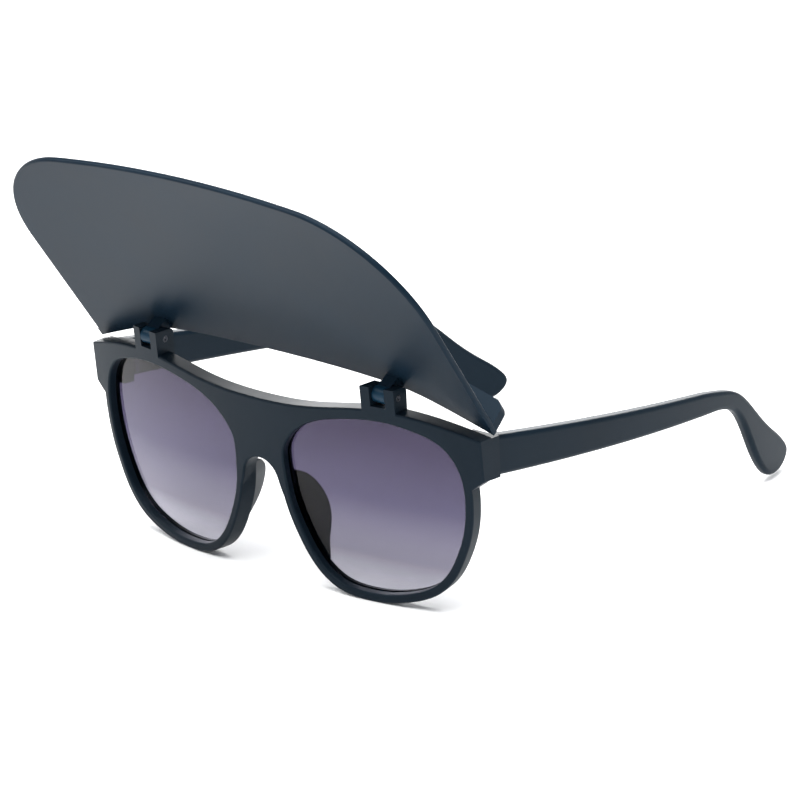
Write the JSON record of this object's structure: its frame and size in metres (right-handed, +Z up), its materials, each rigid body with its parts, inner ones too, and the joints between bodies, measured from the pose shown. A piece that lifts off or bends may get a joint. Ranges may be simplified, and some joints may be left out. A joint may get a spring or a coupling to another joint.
{
  "type": "sunglasses with a flip-up sun visor",
  "caption": "Plastic sunglasses with tinted lenses, folding bowed arms and an opaque sun visor hinged on the brow that flips up and down.",
  "frame": {"origin": "On the floor, at the middle of the outline seen from above.", "axes": "+X to the wearer's left, -Y forward the way the wearer looks, +Z up. Arms open and visor up."},
  "size_m": [0.15, 0.1801, 0.1178],
  "materials": {
    "frame_plastic": "soft matt dark slate",
    "visor_plastic": "soft matt dark slate",
    "arm_plastic": "soft matt dark navy",
    "lens_tint": "polished, tint darker at the top",
    "hinge_steel": "satin",
    "screw_steel": "turned"
  },
  "bodies": {
    "front": {"front_frame": "frame_plastic", "lens_left": "lens_tint", "lens_right": "lens_tint", "nose_pad_left": "frame_plastic", "nose_pad_right": "frame_plastic", "visor_hinge_pin_left": "hinge_steel", "visor_hinge_pin_right": "hinge_steel", "front_hinge_leaf_left": "hinge_steel", "front_hinge_leaf_right": "hinge_steel", "temple_hinge_screw_left": "screw_steel", "temple_hinge_screw_right": "screw_steel"},
    "visor": {"visor_brim": "visor_plastic"},
    "left_arm": {"temple_left": "arm_plastic", "arm_hinge_leaf_left": "hinge_steel", "arm_leaf_rivets_left": "screw_steel"},
    "right_arm": {"temple_right": "arm_plastic", "arm_hinge_leaf_right": "hinge_steel", "arm_leaf_rivets_right": "screw_steel"}
  },
  "joints": [
    {"name": "visor_flip", "type": "hinge", "parent": "front", "child": "visor", "pos_m": [0, -0.05931, 0.05915], "axis": [1, 0, 0], "range_deg": [0, 125]},
    {"name": "left_arm_fold", "type": "hinge", "parent": "front", "child": "left_arm", "pos_m": [0.066, -0.04576, 0.0449], "axis": [0, 0, 1], "range_deg": [0, 82]},
    {"name": "right_arm_fold", "type": "hinge", "parent": "front", "child": "right_arm", "pos_m": [-0.066, -0.04576, 0.0449], "axis": [0, 0, -1], "range_deg": [0, 72]}
  ]
}
